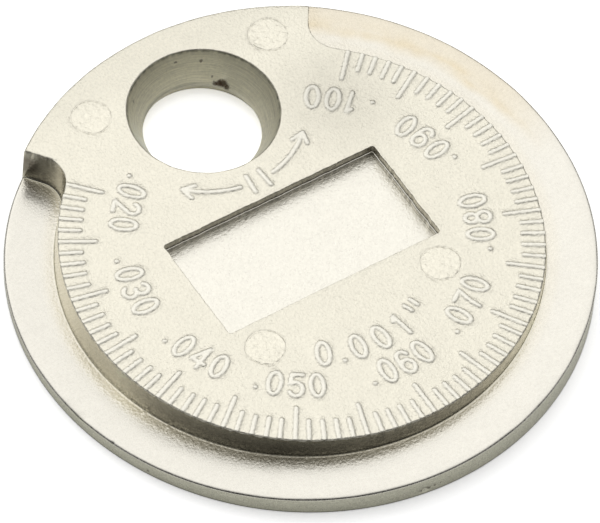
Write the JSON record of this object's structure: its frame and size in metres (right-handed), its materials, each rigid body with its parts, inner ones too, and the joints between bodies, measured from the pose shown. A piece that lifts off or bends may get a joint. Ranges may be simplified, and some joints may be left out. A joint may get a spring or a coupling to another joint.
{
  "type": "spark plug gap gauge",
  "caption": "Coin-shaped ramp feeler gauge with a numbered scale around a raised boss, a tapered gap-opening hole and a rectangular pocket.",
  "frame": {"origin": "on the disc's axis, at the flat back face", "axes": "+Z out of the marked face, +Y from the disc's axis to the hole, so the .060 mark lies on -Y"},
  "size_m": [0.0324, 0.0324, 0.0028],
  "materials": {
    "satin_nickel": "satin nickel plate over a zinc casting"
  },
  "bodies": {
    "root": {"gauge_disc": "satin_nickel"}
  },
  "joints": []
}
